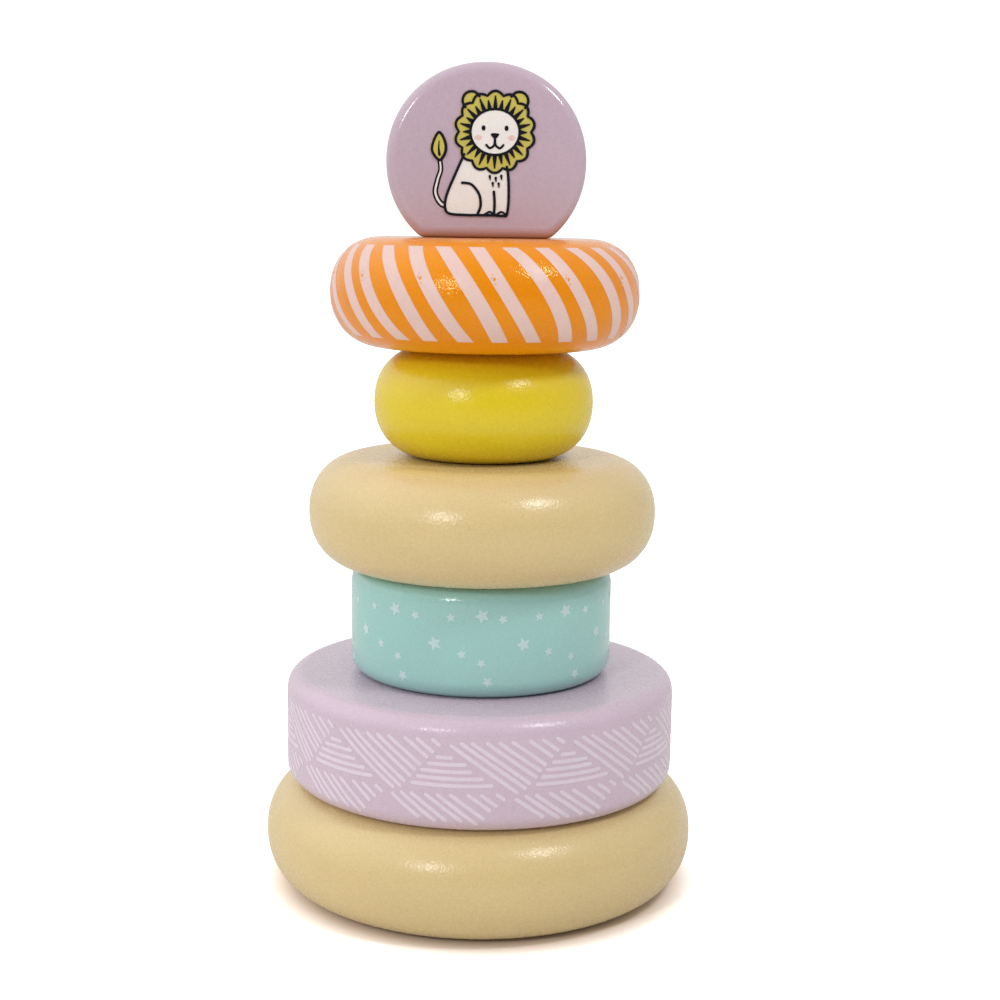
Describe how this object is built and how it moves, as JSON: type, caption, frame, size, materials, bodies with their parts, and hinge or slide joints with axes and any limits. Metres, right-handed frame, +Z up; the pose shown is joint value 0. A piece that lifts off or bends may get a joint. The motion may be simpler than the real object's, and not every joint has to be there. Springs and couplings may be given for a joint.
{
  "type": "stacking ring toy",
  "caption": "Wooden stacking toy: a round base with an upright post, loose painted rings of mixed diameters threaded on it and an upright disc as the topper. For sorting and stacking play.",
  "frame": {"origin": "centre of the flat underside of the base, on the axis of the post", "axes": "+Z up along the post; the picture side of the topper faces -Y"},
  "size_m": [0.1076, 0.1076, 0.2025],
  "materials": {
    "sand_paint": "satin",
    "lavender_paint": "satin",
    "topper_paint": "satin",
    "mint_paint": "satin",
    "yellow_paint": "satin",
    "orange_paint": "satin",
    "bare_wood": "matte",
    "blush_print": "satin print",
    "star_print": "satin print",
    "hatch_print": "satin print",
    "cream_print": "satin print",
    "mustard_print": "satin print",
    "ink_print": "satin print"
  },
  "bodies": {
    "base": {"base": "sand_paint", "post": "bare_wood"},
    "lavender_ring": {"lavender_ring": "lavender_paint"},
    "mint_ring": {"mint_ring": "mint_paint"},
    "sand_ring": {"sand_ring": "sand_paint"},
    "yellow_ring": {"yellow_ring": "yellow_paint"},
    "orange_ring": {"orange_ring": "orange_paint"},
    "topper": {"topper": "topper_paint"}
  },
  "joints": [
    {"name": "lavender_ring_lift", "type": "slide", "parent": "base", "child": "lavender_ring", "axis": [0, 0, 1], "range_m": [0, 0.16]},
    {"name": "mint_ring_lift", "type": "slide", "parent": "lavender_ring", "child": "mint_ring", "axis": [0, 0, 1], "range_m": [0, 0.133]},
    {"name": "sand_ring_lift", "type": "slide", "parent": "mint_ring", "child": "sand_ring", "axis": [0, 0, 1], "range_m": [0, 0.106]},
    {"name": "yellow_ring_lift", "type": "slide", "parent": "sand_ring", "child": "yellow_ring", "axis": [0, 0, 1], "range_m": [0, 0.079]},
    {"name": "orange_ring_lift", "type": "slide", "parent": "yellow_ring", "child": "orange_ring", "axis": [0, 0, 1], "range_m": [0, 0.052]},
    {"name": "topper_lift", "type": "slide", "parent": "orange_ring", "child": "topper", "axis": [0, 0, 1], "range_m": [0, 0.025]}
  ]
}
